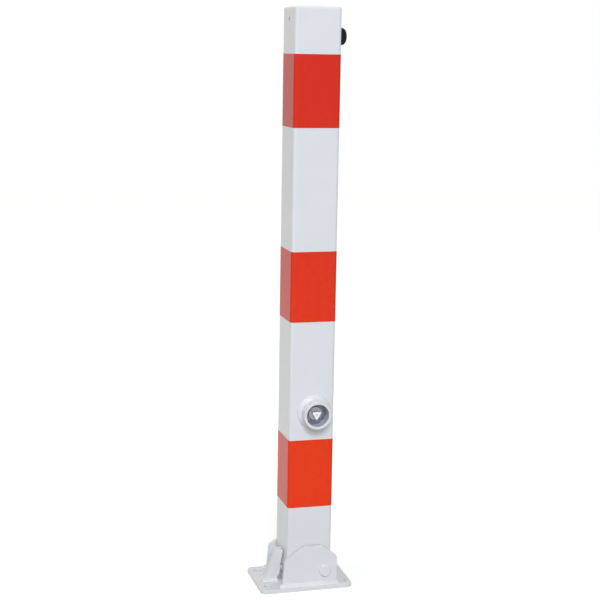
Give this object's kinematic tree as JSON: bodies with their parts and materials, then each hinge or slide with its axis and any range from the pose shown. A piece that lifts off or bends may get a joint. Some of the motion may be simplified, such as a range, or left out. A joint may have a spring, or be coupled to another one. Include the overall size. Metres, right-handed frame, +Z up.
{
  "type": "fold-down bollard",
  "caption": "Square steel parking post hinged on a bolted base plate, with a triangular key lock in a collar, a latch lever inside, red bands and a rubber buffer.",
  "frame": {"origin": "centre of the base plate's underside, on the ground", "axes": "+Z up along the standing post, +X the way the post folds down, -Y the side that the lock faces"},
  "size_m": [0.145, 0.111, 0.8795],
  "materials": {
    "white_coat": "white powder coat, satin",
    "red_film": "red reflective film",
    "zinc_plate": "dull zinc",
    "bright_zinc": "bright zinc",
    "black_rubber": "matt black",
    "shim_plastic": "natural",
    "bearing_bronze": "sintered bronze"
  },
  "bodies": {
    "base": {"base_plate": "white_coat", "front_cheek": "white_coat", "rear_cheek": "white_coat", "keeper": "white_coat", "cheek_welds": "white_coat", "keeper_welds": "white_coat", "hinge_pin": "white_coat", "hinge_washer": "bright_zinc", "split_pin": "bright_zinc"},
    "post": {"post_tube": "white_coat", "top_cap": "white_coat", "red_band_lower": "red_film", "red_band_middle": "red_film", "red_band_upper": "red_film", "hinge_sleeve": "zinc_plate", "front_shim": "shim_plastic", "rear_shim": "shim_plastic", "lock_collar": "white_coat", "collar_weld": "white_coat", "lock_plate": "zinc_plate", "lock_bush": "zinc_plate", "latch_axle": "zinc_plate", "front_spacer": "zinc_plate", "rear_spacer": "zinc_plate", "buffer": "black_rubber", "buffer_stud": "bright_zinc", "buffer_washer": "bright_zinc", "buffer_nut": "bright_zinc"},
    "spindle": {"key_spindle": "bright_zinc", "spindle_washer": "bright_zinc", "crank_arm": "zinc_plate", "crank_pin": "bright_zinc", "crank_cross_pin": "bright_zinc"},
    "latch": {"latch_lever": "zinc_plate", "latch_head": "zinc_plate", "latch_bush": "bearing_bronze"}
  },
  "joints": [
    {"name": "fold", "type": "hinge", "parent": "base", "child": "post", "pos_m": [0.0295, 0, 0.0275], "axis": [0, 1, 0], "range_deg": [0, 90]},
    {"name": "key_turn", "type": "hinge", "parent": "post", "child": "spindle", "pos_m": [0.0095, -0.035, 0.278], "axis": [0, 1, 0], "range_deg": [0, 90]},
    {"name": "latch_throw", "type": "hinge", "parent": "post", "child": "latch", "pos_m": [0.0095, 0, 0.136], "axis": [0, 1, 0], "range_deg": [0, 5.1]}
  ],
  "couplings": [
    {"joint": "latch_throw", "follows": "key_turn", "ratio": 0.056667}
  ]
}
